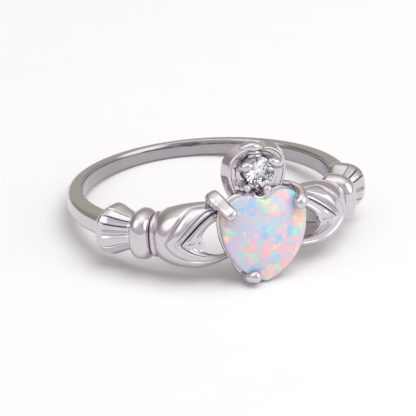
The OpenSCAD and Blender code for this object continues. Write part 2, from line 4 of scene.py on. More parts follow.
import bmesh
import bpy
import numpy as np
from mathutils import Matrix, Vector


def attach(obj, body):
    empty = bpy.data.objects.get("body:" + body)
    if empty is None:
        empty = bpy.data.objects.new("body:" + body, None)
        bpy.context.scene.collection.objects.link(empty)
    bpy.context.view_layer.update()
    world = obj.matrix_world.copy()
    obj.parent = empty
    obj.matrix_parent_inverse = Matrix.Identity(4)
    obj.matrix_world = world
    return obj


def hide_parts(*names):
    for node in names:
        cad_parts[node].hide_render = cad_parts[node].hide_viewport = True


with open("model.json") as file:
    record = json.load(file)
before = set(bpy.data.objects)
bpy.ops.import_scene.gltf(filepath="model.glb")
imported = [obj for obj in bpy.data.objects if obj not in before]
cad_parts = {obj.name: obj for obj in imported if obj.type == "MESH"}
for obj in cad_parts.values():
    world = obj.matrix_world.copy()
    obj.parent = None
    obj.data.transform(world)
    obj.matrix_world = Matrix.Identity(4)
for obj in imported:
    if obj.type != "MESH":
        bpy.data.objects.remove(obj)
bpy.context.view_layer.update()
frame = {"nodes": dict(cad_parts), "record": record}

# Sizes in millimetres, as in the part's source. Angles are degrees round the finger, 0 at the heart
BORE_R = 17.3 / 2
BAND_W, BAND_BACK_W = 1.45, 1.15
BAND_BACK_T, BAND_SIDE_T = 0.9, 1.3
CUFF_L, CUFF_FLARE_W, CUFF_WAIST_W, CUFF_T = 2.2, 3.4, 2.35, 2.4
CUFF_WAIST_T = CUFF_T * 0.64
BEAD_L, BEAD_W, BEAD_T = 1.2, 3.4, 2.25
ROLL_L, ROLL_W, ROLL_T = 0.28, 3.05, 1.8
HAND_L, HAND_W, HAND_T, WINDOW_L = 3.6, 4.5, 2.25, 0.95
HEART_W, LOBE_R, HEART_DROP, TIP_R, NOTCH_R, LOBE_Z = 6.0, 1.77, 4.35, 0.35, 0.45, 1.05
STONE_RIM_T, DOME_H, STONE_GAP = 0.42, 0.55, 0.03
SEAT_OUT, SETTING_T, SETTING_WALL = 1.35, 1.05, 0.8
CROWN_W, CROWN_H, CROWN_Z, CROWN_T, CROWN_OUT = 4.1, 3.25, 2.4, 0.8, 0.08
BRILLIANT_R, BRILLIANT_Z, BRILLIANT_OUT, PAVILION_H = 1.0, 1.74, 1.25, 0.86

# The finger's axis, which leans back because the ring lies on the heart's tip
bore = frame["record"]["mounts"][0]
AXIS_PLACE = np.array(bore["pos_m"]) * 1000
AXIS_SIN, AXIS_COS = bore["axis"][1], bore["axis"][2]

METRES = 0.001
MIRROR = np.array([-1, 1, 1])
SHARP_ANGLE = 38


def mix(a, b, share):
    """The value at a share of the way from a to b."""
    return a + (b - a) * share


def unit(vectors):
    """The vectors, each at length 1."""
    return vectors / np.linalg.norm(vectors, axis=-1, keepdims=True)


def arc_deg(length):
    """The angle round the finger that a length along the bore takes."""
    return np.degrees(length / BORE_R)


def polar(az, r, z):
    """Points round the finger's axis."""
    a = np.radians(az)
    return np.stack(np.broadcast_arrays(r * np.sin(a), -r * np.cos(a), z), -1)


def facing(x, z, q):
    """Points on a plane that faces the heart's way, q from the finger's axis."""
    return np.stack(np.broadcast_arrays(x, -np.asarray(q, float), z), -1)


def curve(table, x):
    """The columns of a table at x, on a smooth curve through its rows."""
    rows = np.array(table, float)
    at = rows[:, 0]
    slopes = np.empty_like(rows)
    slopes[1:-1] = (rows[2:] - rows[:-2]) / (at[2:] - at[:-2])[:, None]
    slopes[0] = (rows[1] - rows[0]) / (at[1] - at[0])
    slopes[-1] = (rows[-1] - rows[-2]) / (at[-1] - at[-2])
    x = np.clip(x, at[0], at[-1])
    i = np.clip(np.searchsorted(at, x, side="right") - 1, 0, len(at) - 2)
    step = (at[i + 1] - at[i])[..., None]
    s = (x[..., None] - at[i][..., None]) / step
    ends = (2 * s**3 - 3 * s**2 + 1) * rows[i] + (3 * s**2 - 2 * s**3) * rows[i + 1]
    turns = (s**3 - 2 * s**2 + s) * slopes[i] + (s**3 - s**2) * slopes[i + 1]
    return (ends + step * turns)[..., 1:]


def laid(points):
    """Moves upright millimetres to where the ring lies, in metres."""
    x, y, z = np.moveaxis(np.asarray(points, float), -1, 0)
    turned = np.stack([x, y * AXIS_COS + z * AXIS_SIN, z * AXIS_COS - y * AXIS_SIN], -1)
    return (turned + AXIS_PLACE) * METRES


class Form:
    """Gathers grids of points into the surface of one piece."""

    def __init__(self):
        self.points = []
        self.faces = []
        self.count = 0

    def grid(self, points, caps=True):
        """A tube whose rings are the grid's rows, closed at both ends unless caps is off."""
        rows, sides = points.shape[:2]
        index = self.count + np.arange(rows * sides).reshape(rows, sides)
        right = np.roll(index, -1, axis=1)
        quads = np.stack([index[:-1], right[:-1], right[1:], index[1:]], -1).reshape(-1, 4)
        self.faces += quads.tolist()
        self.points.append(points.reshape(-1, 3))
        self.count += rows * sides
        if caps:
            self.cap(index[0][::-1], points[0])
            self.cap(index[-1], points[-1])

    def cap(self, ring, places):
        """Closes a ring of points with triangles to its middle."""
        self.points.append(places.mean(axis=0)[None])
        following = np.roll(ring, -1)
        self.faces += [[a, b, self.count] for a, b in zip(ring.tolist(), following.tolist())]
        self.count += 1

    def piece(self, name, node, slot, material):
        """Makes the piece, which stands for a node of the frame and rides with it."""
        mesh = bpy.data.meshes.new(name)
        mesh.from_pydata(laid(np.concatenate(self.points)).tolist(), [], self.faces)
        shape = bmesh.new()
        shape.from_mesh(mesh)
        bmesh.ops.recalc_face_normals(shape, faces=shape.faces)
        shape.to_mesh(mesh)
        shape.free()
        mesh.polygons.foreach_set("use_smooth", [True] * len(mesh.polygons))
        mesh.set_sharp_from_angle(angle=np.radians(SHARP_ANGLE))
        mesh.materials.append(material)
        made = bpy.data.objects.new(name, mesh)
        bpy.context.collection.objects.link(made)
        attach(made, "root")
        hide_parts(node)


def placed(rows, base_q):
    """Rows of (across, up, forward of base_q, radius) as rows of (x, y, z, radius)."""
    x, z, forward, radius = np.array(rows, float).T
    return np.column_stack([facing(x, z, base_q + forward), radius])


def smooth_path(rows, steps=8):
    """More rows of (x, y, z, radius) along a wire, on a smooth curve through the given ones."""
    gaps = np.linalg.norm(np.diff(rows[:, :3], axis=0), axis=1)
    along = np.concatenate([[0], np.cumsum(gaps)])
    at = np.concatenate([np.linspace(a, b, steps, endpoint=False) for a, b in zip(along, along[1:])])
    return curve(np.column_stack([along, rows]), np.append(at, along[-1]))


def wire(form, rows, side, sides=32, flat=1.0, power=2.0):
    """A wire with a rounded end. side is a vector across it, flat its thickness the other way, as a
    share of its width, and a power above 2 makes its section boxier."""
    path = smooth_path(rows)
    places, radii = path[:, :3], path[:, 3]
    along = unit(np.gradient(places, axis=0))
    cap = np.radians(np.linspace(0, 90, 10)[1:-1])
    places = np.concatenate([places, places[-1] + radii[-1] * flat * np.sin(cap)[:, None] * along[-1]])
    radii = np.concatenate([radii, radii[-1] * np.cos(cap)])
    along = np.concatenate([along, np.repeat(along[-1:], len(cap), axis=0)])
    side = np.asarray(side, float)
    across = unit(side - along * (along @ side)[:, None])
    up = np.cross(along, across)
    turn = np.radians(np.arange(sides) * 360 / sides)
    wide = (np.sign(np.cos(turn)) * np.abs(np.cos(turn)) ** (2 / power))[None, :, None]
    high = (np.sign(np.sin(turn)) * np.abs(np.sin(turn)) ** (2 / power))[None, :, None] * flat
    form.grid(places[:, None] + radii[:, None, None] * (wide * across[:, None] + high * up[:, None]))


# Angles where the pieces of an arm start, from the heart outward
HEART_SIDE = np.degrees(np.arcsin(HEART_W / 2 / (BORE_R + SEAT_OUT)))
ROLL_AT = HEART_SIDE + arc_deg(HAND_L)
BEAD_AT = ROLL_AT + arc_deg(ROLL_L)
CUFF_AT = BEAD_AT + arc_deg(BEAD_L)
SHOULDER_AT = CUFF_AT + arc_deg(CUFF_L)

BAND_CORNERS = [
    # outside, up, angle where its arc starts, reach outward, reach along the finger
    (False, -1, 180, 0.17, 0.50),
    (True, -1, 270, 0.44, 0.44),
    (True, 1, 0, 0.44, 0.44),
    (False, 1, 90, 0.17, 0.50),
]


def band_form():
    """The band: thin and narrow at the back, with rounded edges."""
    az = np.linspace(BEAD_AT, 360 - BEAD_AT, 360)
    turn = np.radians(az)
    set_off = BAND_SIDE_T - BAND_BACK_T
    side_r = BORE_R + BAND_SIDE_T
    outer = set_off * np.cos(turn) + np.sqrt(side_r**2 - (set_off * np.sin(turn)) ** 2)
    y = -outer * np.cos(turn)
    front_y = -BORE_R * np.cos(np.radians((CUFF_AT + SHOULDER_AT) / 2))
    back_y = side_r - set_off
    half = mix(BAND_W, BAND_BACK_W, np.clip((y - front_y) / (back_y - front_y), 0, 1)) / 2
    lines = []
    for outside, up, start, reach, rise in BAND_CORNERS:
        middle = outer - reach if outside else BORE_R + reach
        for a in np.radians(np.linspace(start, start + 90, 12)):
            lines.append(polar(az, middle + reach * np.cos(a), up * (half - rise) + rise * np.sin(a)))
    form = Form()
    form.grid(np.stack(lines, 1))
    return form


# The arm's section: its straight foot, how boxy it is, and its width at the finger as a share
SECTION_LOW, SECTION_POWER, FOOT_SHARE = 0.42, 2.7, 0.86

# The cuff's panels: a groove's depth and its width as a share of a panel, the power by which grooves
# fade towards the edges, and how hollow a panel is as a share of a groove's depth
CUFF_PANELS, GROOVE_DEPTH, GROOVE_SHARE, GROOVE_FADE, PANEL_HOLLOW = 8, 0.19, 0.08, 9, 0.25

# The share of its swell that a bead or roll keeps at its ends
END_SWELL = 0.42

# Degrees of crease before the bead and the roll, and how far the roll and the hand run into each other
BEAD_CREASE, ROLL_CREASE, ROLL_LAP, WRIST_LAP = 0.3, 0.2, 0.8, 0.4

CUFF_ROWS = [
    # along, height, thickness, grooves
    (0.00, -0.85, -0.40, 0.0),
    (0.03, -0.25, 0.40, 0.0),
    (0.08, 0.25, 0.72, 0.0),
    (0.16, 0.70, 0.93, 0.0),
    (0.25, 0.95, 1.00, 0.0),
    (0.33, 1.00, 0.98, 0.7),
    (0.45, 0.92, 0.88, 1.0),
    (0.60, 0.60, 0.62, 1.0),
    (0.78, 0.24, 0.28, 1.0),
    (0.90, 0.06, 0.08, 1.0),
    (1.00, 0.00, 0.00, 1.0),
]


def arm_sections(az, height, out, groove):
    """Rings of an arm: flat on the finger's side and round outside, with grooves between panels."""
    az, height, out, groove = (np.asarray(v, float)[:, None] for v in (az, height, out, groove))
    steps = 160
    a = np.radians(np.linspace(-90, 90, steps + 1))[None]
    panel = np.linspace(0, CUFF_PANELS, steps + 1)[None]
    off_groove = np.abs(panel - np.round(panel))
    valley = np.exp(-((off_groove / GROOVE_SHARE) ** 2)) + PANEL_HOLLOW * np.sin(np.pi * off_groove) ** 2
    fit = 1 - groove * valley * (1 - np.abs(np.sin(a)) ** GROOVE_FADE) / out
    r = BORE_R + SECTION_LOW + (out - SECTION_LOW) * np.cos(a) ** (2 / SECTION_POWER) * fit
    z = height / 2 * np.sign(a) * np.abs(np.sin(a)) ** (2 / SECTION_POWER) * fit
    rise = np.linspace(0, 1, 7)[None, :-1]
    half = height / 2 * mix(FOOT_SHARE, 1, np.sin(rise * np.pi / 2))
    foot = np.broadcast_to(BORE_R + SECTION_LOW * rise, half.shape)
    r = np.concatenate([foot, r, foot[:, ::-1]], 1)
    z = np.concatenate([-half, z, half[:, ::-1]], 1)
    return polar(az, r, z)


def round_sections(start, end, height, out):
    """Rings of a bead or roll, which swells between two angles."""
    x = -np.cos(np.linspace(0, np.pi, 36))
    swell = np.sqrt(1 - x**2 * (1 - END_SWELL**2))
    return arm_sections(
        mix(start, end, (x + 1) / 2),
        mix(CUFF_WAIST_W, height, swell),
        mix(CUFF_WAIST_T, out, swell),
        np.zeros_like(x),
    )


def cuff_grid():
    """The cuff with its bead and roll, from the band to the hand."""
    along = np.linspace(0, 1, 110)
    height, out, groove = np.moveaxis(curve(CUFF_ROWS, along), -1, 0)
    cuff = arm_sections(
        mix(SHOULDER_AT, CUFF_AT, along),
        mix(CUFF_WAIST_W, CUFF_FLARE_W, height),
        mix(CUFF_WAIST_T, CUFF_T, out),
        GROOVE_DEPTH * groove,
    )
    bead = round_sections(CUFF_AT - BEAD_CREASE, BEAD_AT, BEAD_W, BEAD_T)
    roll = round_sections(BEAD_AT - ROLL_CREASE, ROLL_AT - ROLL_LAP, ROLL_W, ROLL_T)
    return np.concatenate([cuff, bead, roll])


# The hand's folds, from its outer edge, 0, to the window, 1: how high a fold ends as a share of half the
# hand, how soon it gets there and how bluntly, then the same downward, and how proud it stands
FOLD_ROWS = [
    # palm, up, reach, blunt, down, reach, blunt, proud above, proud below
    (0.000, 1.000, 0.05, 0.50, 1.00, 0.05, 0.50, 0.0, 0.0),
    (0.100, 0.985, 0.25, 0.90, 0.93, 0.40, 0.40, 0.2, 0.2),
    (0.190, 0.965, 0.35, 1.00, 0.82, 0.60, 0.45, 0.3, 0.3),
    (0.295, 0.945, 0.42, 1.00, 0.75, 0.75, 0.48, 0.2, 0.2),
    (0.325, 0.930, 0.45, 1.00, 0.72, 0.80, 0.49, -0.5, -0.3),
    (0.360, 0.910, 0.50, 1.00, 0.69, 0.80, 0.52, 0.5, 0.1),
    (0.430, 0.885, 0.62, 1.00, 0.66, 0.80, 0.58, 1.0, 0.2),
    (0.490, 0.862, 0.74, 1.00, 0.645, 0.80, 0.64, 0.9, 0.2),
    (0.515, 0.853, 0.79, 1.00, 0.64, 0.80, 0.67, -0.7, 0.1),
    (0.550, 0.841, 0.85, 1.00, 0.63, 0.80, 0.71, -0.3, 0.2),
    (0.600, 0.818, 0.95, 1.00, 0.61, 0.80, 0.77, 0.0, 0.2),
    (0.628, 0.800, 1.00, 1.00, 0.60, 0.80, 0.80, -0.8, -0.3),
    (0.655, 0.785, 1.00, 0.95, 0.595, 0.80, 0.78, 0.5, 0.2),
    (0.690, 0.765, 1.00, 0.89, 0.59, 0.81, 0.74, -0.1, 0.1),
    (0.780, 0.710, 0.95, 0.80, 0.58, 0.85, 0.68, 0.1, 0.1),
    (0.880, 0.630, 0.90, 0.65, 0.59, 0.90, 0.60, -0.1, 0.0),
    (0.960, 0.570, 0.85, 0.55, 0.61, 0.95, 0.52, 0.1, 0.0),
    (1.000, 0.540, 0.85, 0.50, 0.63, 1.00, 0.50, -0.3, -0.2),
]
WRIST_TO_TIP = [
    # along, half height above, half height below, thickness
    (0.00, 0.60, 0.64, 0.76),
    (0.10, 0.75, 0.78, 0.91),
    (0.25, 0.87, 0.91, 1.00),
    (0.45, 0.96, 0.98, 1.00),
    (0.60, 0.99, 0.98, 0.88),
    (0.80, 1.00, 0.88, 0.73),
    (1.00, 0.98, 0.70, 0.60),
]
WRIST = ROLL_AT + WRIST_LAP
WINDOW_END = HEART_SIDE + arc_deg(WINDOW_L)
PALM_DROP, UPPER_LAP, LOWER_LAP = 0.1, 0.35, 0.95
FOLD_DEPTH, HAND_POWER, FOLD_SPACING = 0.2, 2.3, 1.35

# Fine lines near the window, below the middle: how many, their share of a fold's depth, and their start
FINE_LINES, FINE_SHARE, FINE_FROM = 9, 0.18, 0.64

# How far the window's lower wall leans out to the finger, at most and as a share of the arm's height
WINDOW_FLARE, FLARE_SHARE = 0.55, 0.8


def fold_relief(palm, t, above, below):
    """How far the folds stand out at t, bold above the middle and fine below it."""
    near_window = np.clip((palm - FINE_FROM) / 0.1, 0, 1)
    low = np.clip(-t / 0.25, 0, 1)
    fine = FINE_SHARE * np.sin(2 * np.pi * FINE_LINES * palm) * near_window * low
    upper = np.clip((t + 0.1) / 0.4, 0, 1) ** 2
    return (mix(below, above, upper) + fine) * FOLD_DEPTH


def hand_ring(palm, folds, t):
    """The ring across the folds at t, from -1 at the lower arm's tip to 1 at the upper arm's tip."""
    up_end, up_reach, up_blunt, low_end, low_reach, low_blunt, proud_up, proud_low = folds
    up = t > 0
    along = abs(t) ** FOLD_SPACING
    tip = HEART_SIDE - arc_deg(UPPER_LAP if up else LOWER_LAP)
    az = mix(mix(WRIST, WINDOW_END, palm), tip, along)
    above, below, thick = np.moveaxis(curve(WRIST_TO_TIP, (WRIST - az) / (WRIST - tip)), -1, 0)
    half = HAND_W / 2 * (above if up else below)
    end, reach, blunt = (up_end, up_reach, up_blunt) if up else (low_end, low_reach, low_blunt)
    rise = np.minimum(end, 1) * np.sin(np.pi / 2 * np.minimum(along / reach, 1)) ** blunt
    fall = (1 - np.minimum(rise, 1) ** HAND_POWER) ** (1 / HAND_POWER)
    relief = fold_relief(palm, t, proud_up, proud_low)
    r = BORE_R + SECTION_LOW + (HAND_T * thick - SECTION_LOW + relief) * fall
    z = (half if up else -half) * rise - PALM_DROP * palm * np.cos(np.pi / 2 * along) * (1 - rise)
    front = polar(az, r, z)

    share = np.linspace(0, 1, 9)
    outer_foot_z = z[0] * FOOT_SHARE
    room = FLARE_SHARE * max(0, z[-1] - outer_foot_z)
    window_foot_z = z[-1] - (0 if up else min(WINDOW_FLARE * np.sqrt(min(1, 4 * along)), room))
    window_wall = mix(front[-1], polar(az[-1], BORE_R, window_foot_z), share[1:, None])
    back = share[1:-1]
    finger_side = polar(mix(az[-1], az[0], back), BORE_R, mix(window_foot_z, outer_foot_z, back))
    outer_wall = mix(polar(az[0], BORE_R, outer_foot_z), front[0], share[:-1, None])
    return np.concatenate([front, window_wall, finger_side, outer_wall])


def hand_grid():
    """The hand: folds that fan round the window, from its lower arm round the palm to its upper arm."""
    palm = np.concatenate([np.linspace(0, 0.29, 30), np.linspace(0.3, 1, 170)])
    folds = np.moveaxis(curve(FOLD_ROWS, palm), -1, 0)
    return np.stack([hand_ring(palm, folds, t) for t in np.linspace(-1, 1, 141)])


# Heart: a notch arc, two lobes, two side arcs and a tip arc, each tangent to the next
LOBE_MID = np.array([HEART_W / 2 - LOBE_R, LOBE_Z])
SIDE_R = (HEART_DROP**2 + (HEART_W / 2) ** 2) / HEART_W
SIDE_MID = np.array([HEART_W / 2 - SIDE_R, LOBE_Z])
NOTCH_MID = np.array([0, LOBE_Z + np.sqrt((LOBE_R + NOTCH_R) ** 2 - LOBE_MID[0] ** 2)])
NOTCH_TURN = np.degrees(np.arctan2(NOTCH_MID[1] - LOBE_Z, -LOBE_MID[0]))

SEAT_Q = BORE_R + SEAT_OUT
STONE_BACK_Q = SEAT_Q + STONE_GAP
DOME_Q = STONE_BACK_Q + STONE_RIM_T + DOME_H
DOME_Z = LOBE_Z - HEART_DROP * 0.3
DOME_R = ((HEART_W / 2) ** 2 + DOME_H**2) / (2 * DOME_H)
STONE_EDGE_R = 0.12

SETTING_RIM, SETTING_TAPER = 0.06, 0.22
SETTING_ROWS = [
    # forward of the seat, set out from the stone's outline
    (-SETTING_T, 0.05 - SETTING_WALL),
    (-SETTING_T, -SETTING_TAPER - 0.04),
    (0.04 - SETTING_T, -SETTING_TAPER),
    (-0.62, -SETTING_TAPER / 2),
    (-0.50, -0.02),
    (-0.44, 0.05),
    (-0.36, 0.08),
    (-0.28, 0.05),
    (-0.22, -0.03),
    (-0.14, 0.00),
    (-0.08, SETTING_RIM * 0.7),
    (-0.03, SETTING_RIM),
    (0.03, SETTING_RIM),
    (0.06, SETTING_RIM / 2),
    (0.06, 0.01),
    (0.00, 0.00),
    (0.00, -SETTING_WALL),
    (-SETTING_T, 0.05 - SETTING_WALL),
]


def heart_outline(grow):
    """The heart's outline in its own plane, set out by grow, clockwise from the notch."""

    def arc(centre, r, start, end, steps, first=1):
        a = np.radians(mix(start, end, np.arange(first, steps + 1) / steps))
        return np.asarray(centre) + r * np.column_stack([np.cos(a), np.sin(a)])

    tip_r = max(TIP_R + grow, 0.05)
    tip_z = LOBE_Z - np.sqrt((SIDE_R + grow - tip_r) ** 2 - SIDE_MID[0] ** 2)
    turn = -np.degrees(np.arctan2(LOBE_Z - tip_z, -SIDE_MID[0]))
    right = np.concatenate([
        arc(NOTCH_MID, NOTCH_R - grow, -90, NOTCH_TURN - 180, 10, 0),
        arc(LOBE_MID, LOBE_R + grow, NOTCH_TURN, 0, 40),
        arc(SIDE_MID, SIDE_R + grow, 0, turn, 40),
        arc([0, tip_z], tip_r, turn, -90, 8),
    ])
    return np.concatenate([right, right[-2:0:-1] * [-1, 1]])


def setting_form():
    """The heart's setting: a wall that tapers to the finger, with a fine roll and a rim at the stone."""
    rings = []
    for forward, grow in SETTING_ROWS:
        outline = heart_outline(grow)
        rings.append(facing(outline[:, 0], outline[:, 1], SEAT_Q + forward))
    form = Form()
    form.grid(np.stack(rings), caps=False)
    return form


def stone_q(x, z):
    """How far the dome stands out at a place."""
    return DOME_Q - DOME_R + np.sqrt(DOME_R**2 - x**2 - (z - DOME_Z) ** 2)


def opal_form():
    """The opal: a low dome with a softly rounded edge."""
    outline = heart_outline(0)
    rings = [facing(outline[:, 0] * 0.98, outline[:, 1] * 0.98, STONE_BACK_Q)]
    rings.append(facing(outline[:, 0], outline[:, 1], STONE_BACK_Q + 0.04))
    for a in np.radians(np.linspace(0, 90, 7)):
        inset = heart_outline(-STONE_EDGE_R * (1 - np.cos(a)))
        top = stone_q(inset[:, 0], inset[:, 1])
        rings.append(facing(inset[:, 0], inset[:, 1], top - STONE_EDGE_R * (1 - np.sin(a))))
    rim = heart_outline(-STONE_EDGE_R)
    middle = np.array([0, DOME_Z + 0.3])
    for share in np.linspace(0, 1, 40)[1:-1]:
        at = mix(rim, middle, share)
        rings.append(facing(at[:, 0], at[:, 1], stone_q(at[:, 0], at[:, 1])))
    form = Form()
    form.grid(np.stack(rings))
    return form


HOOK_ROWS = [
    # across, up, forward of the seat, radius
    (1.60, 2.50, -1.10, 0.22),
    (2.03, 2.71, -0.98, 0.25),
    (2.42, 2.67, -0.50, 0.26),
    (2.64, 2.55, -0.15, 0.30),
    (2.72, 2.38, 0.20, 0.35),
    (2.64, 2.23, 0.50, 0.39),
    (2.50, 2.08, 0.77, 0.43),
    (2.38, 1.96, 0.86, 0.45),
]
BAR_ROWS = [
    # across, up, forward of the seat, radius
    (-2.20, 1.90, -0.95, 0.34),
    (-2.68, 2.36, -1.14, 0.46),
    (-2.98, 2.62, -1.02, 0.50),
    (-2.92, 2.53, -0.60, 0.50),
    (-2.77, 2.34, -0.28, 0.48),
    (-2.63, 2.14, 0.28, 0.46),
    (-2.54, 2.02, 0.58, 0.45),
    (-2.46, 1.92, 0.76, 0.44),
]
BALL_ROWS = [
    # across, up, forward of the seat, radius
    (-1.82, -1.70, -0.80, 0.16),
    (-1.76, -2.02, -0.80, 0.24),
    (-1.56, -2.34, -0.58, 0.30),
    (-1.36, -2.62, -0.32, 0.35),
    (-1.26, -2.74, 0.10, 0.39),
    (-1.15, -2.73, 0.50, 0.43),
    (-0.97, -2.66, 0.72, 0.45),
]
NOTCH_LIP_ROWS = [
    # across, up, forward of the seat, radius
    (-0.71, 2.79, 0.36, 0.10),
    (-0.42, 2.60, 0.36, 0.13),
    (-0.12, 2.54, 0.36, 0.15),
    (0.24, 2.62, 0.36, 0.14),
    (0.64, 2.82, 0.34, 0.10),
]


def claws_form():
    """The heart's three claws, a hook, a flat bar and a ball beside the tip, and the notch's lip."""
    form = Form()
    wire(form, placed(HOOK_ROWS, SEAT_Q), [-1, 0, 1])
    wire(form, placed(BAR_ROWS, SEAT_Q), [0.92, 0, 0.38], flat=0.85, power=3.2)
    wire(form, placed(BALL_ROWS, SEAT_Q), [1, 0, -1])
    wire(form, placed(NOTCH_LIP_ROWS, SEAT_Q), [0, 1, 0])
    return form


CROWN_BACK_Q = BORE_R + CROWN_OUT
CROWN_FRONT_Q = CROWN_BACK_Q + CROWN_T
CROWN_FOOT_Z = LOBE_Z + LOBE_R * 0.6
BRILLIANT_MID = np.array([0, CROWN_Z + BRILLIANT_Z])

# A lobe: the depth of its scoop, how much wider it is behind, and where round the stone its inner edge
# lies, as angles at the foot and top and as a share of the stone's radius
SCOOP_DEPTH, LOBE_FLARE = 0.28, 0.2
LOBE_FOOT_TURN, LOBE_TOP_TURN, LOBE_INNER_SHARE = -62, 88, 0.9

LOBE_OUTLINE = [
    # along, across, up
    (0.00, 0.78, 0.00),
    (0.15, 0.90, 0.17),
    (0.30, 0.98, 0.38),
    (0.44, 1.00, 0.56),
    (0.58, 0.91, 0.78),
    (0.72, 0.66, 0.93),
    (0.86, 0.36, 1.00),
    (1.00, 0.14, 0.93),
]
LOBE_RELIEF = [
    # in, depth
    (0.00, 0.60),
    (0.025, 0.28),
    (0.07, 0.06),
    (0.13, 0.00),
    (0.18, 0.05),
    (0.22, 0.24),
    (0.27, 0.24),
    (0.36, 0.28),
    (0.45, 0.30),
    (0.51, 0.38),
    (0.58, 0.39),
    (0.80, 0.40),
    (1.00, 0.44),
]


def crown_lobe_grid():
    """A scooped lobe at the right of the small stone, from its foot up to the leaf."""
    inward = np.linspace(0, 1, 60)
    depth = curve(LOBE_RELIEF, inward)[:, 0]
    down = np.linspace(0, 1, 8)[1:, None]
    rings = []
    for t in np.linspace(0, 1, 90):
        across, up = curve(LOBE_OUTLINE, np.array(t))
        outer = np.array([CROWN_W / 2 * across, CROWN_Z + CROWN_H * up])
        a = np.radians(mix(LOBE_FOOT_TURN, LOBE_TOP_TURN, t))
        inner = BRILLIANT_MID + BRILLIANT_R * LOBE_INNER_SHARE * np.array([np.cos(a), np.sin(a)])
        back = facing(*(outer + LOBE_FLARE * unit(outer - BRILLIANT_MID)), CROWN_BACK_Q)
        at = mix(outer, inner, inward[:, None])
        front = facing(at[:, 0], at[:, 1], CROWN_FRONT_Q - SCOOP_DEPTH * depth)
        inner_wall = mix(front[-1], facing(*inner, CROWN_BACK_Q), down)
        outer_wall = mix(back, front[0], down[:-1])
        rings.append(np.concatenate([front, inner_wall, back[None], outer_wall]))
    return np.stack(rings)


LEAF_CAP_ROWS = [
    # across, up, forward of the crown's back, radius
    (-1.04, 5.72, 0.42, 0.06),
    (-0.74, 5.72, 0.44, 0.30),
    (-0.36, 5.73, 0.48, 0.46),
    (0.00, 5.68, 0.50, 0.47),
    (0.28, 5.57, 0.46, 0.38),
    (0.40, 5.46, 0.42, 0.25),
]
LEAF_FOLD_ROWS = [
    # across, up, forward of the crown's back, radius
    (-0.50, 5.42, 0.50, 0.12),
    (-0.26, 5.38, 0.64, 0.26),
    (0.04, 5.31, 0.66, 0.26),
    (0.28, 5.20, 0.52, 0.16),
]
LEAF_FOOT_ROWS = [
    # across, up, forward of the crown's back, radius
    (-0.52, 5.06, 0.56, 0.14),
    (-0.22, 5.10, 0.70, 0.25),
    (0.10, 5.06, 0.70, 0.25),
    (0.32, 4.96, 0.56, 0.16),
]


def leaf(form):
    """The folded leaf on top: a wide cap over two narrower folds."""
    for rows, flat, power in (
        (LEAF_CAP_ROWS, 0.72, 2.8),
        (LEAF_FOLD_ROWS, 0.9, 2.3),
        (LEAF_FOOT_ROWS, 0.9, 2.3),
    ):
        wire(form, placed(rows, CROWN_BACK_Q), [0, 1, 0], flat=flat, power=power)


SEAT_FRONT = BRILLIANT_OUT - PAVILION_H * 0.3
STONE_SEAT_ROWS = [
    # share of the stone's radius, forward of the crown's back
    (0.60, 0.00),
    (0.92, 0.00),
    (0.94, 0.02),
    (1.16, 0.02),
    (1.16, 0.30),
    (0.94, 0.32),
    (0.94, SEAT_FRONT - 0.03),
    (0.92, SEAT_FRONT),
    (0.72, SEAT_FRONT - 0.08),
    (0.60, SEAT_FRONT - 0.25),
    (0.60, 0.00),
]
FOOT_BLOCKS = [
    # half width, top, back and front forward of the crown's back
    (BRILLIANT_R, BRILLIANT_MID[1] - BRILLIANT_R * 0.6, 0.00, 0.75),
    (1.35, CROWN_Z + 0.75, 0.02, 0.35),
]


def stone_seat(form):
    """The round seat of the small stone, open behind, with a flange at its back."""
    turn = np.radians(np.arange(64) * 360 / 64)
    circle = np.array([np.cos(turn), np.sin(turn)])
    rings = []
    for share, forward in STONE_SEAT_ROWS:
        x, z = BRILLIANT_MID[:, None] + BRILLIANT_R * share * circle
        rings.append(facing(x, z, CROWN_BACK_Q + forward))
    form.grid(np.stack(rings), caps=False)


def crown_foot(form):
    """The two blocks that join the seat and the lobes to the heart's setting."""
    for half, top_z, back, front in FOOT_BLOCKS:
        back_q, front_q = CROWN_BACK_Q + back, CROWN_BACK_Q + front
        corners = ((-half, back_q), (half, back_q), (half, front_q), (-half, front_q))
        form.grid(np.array([[(x, -q, z) for x, q in corners] for z in (CROWN_FOOT_Z, top_z)], float))


UPPER_LEFT_PIN = [
    # across, up, forward of the crown's back, radius
    (-1.40, 4.42, 0.80, 0.14),
    (-1.26, 4.56, 1.10, 0.25),
    (-1.10, 4.68, 1.34, 0.33),
    (-0.92, 4.76, 1.48, 0.30),
    (-0.74, 4.80, 1.55, 0.21),
    (-0.60, 4.83, 1.56, 0.10),
]
UPPER_RIGHT_PIN = [
    # across, up, forward of the crown's back, radius
    (1.52, 4.20, 0.60, 0.32),
    (1.40, 4.46, 1.05, 0.36),
    (1.14, 4.66, 1.36, 0.36),
    (0.84, 4.82, 1.53, 0.27),
    (0.60, 4.92, 1.57, 0.15),
]
LOWER_LEFT_PIN = [
    # across, up, forward of the crown's back, radius
    (-0.80, 3.34, 0.60, 0.18),
    (-0.92, 3.28, 1.05, 0.22),
    (-1.02, 3.29, 1.40, 0.26),
]
LOWER_RIGHT_PIN = [
    # across, up, forward of the crown's back, radius
    (0.42, 2.40, 0.92, 0.50),
    (0.38, 2.62, 1.20, 0.44),
    (0.33, 2.86, 1.44, 0.36),
    (0.31, 3.04, 1.56, 0.32),
]


def pins(form):
    """The four claws round the small stone."""
    for rows, side in (
        (UPPER_LEFT_PIN, [1, 0, 1]),
        (UPPER_RIGHT_PIN, [1, 0, 1]),
        (LOWER_LEFT_PIN, [1, 0, 0]),
        (LOWER_RIGHT_PIN, [1, 0, 0]),
    ):
        wire(form, placed(rows, CROWN_BACK_Q), side, sides=24)


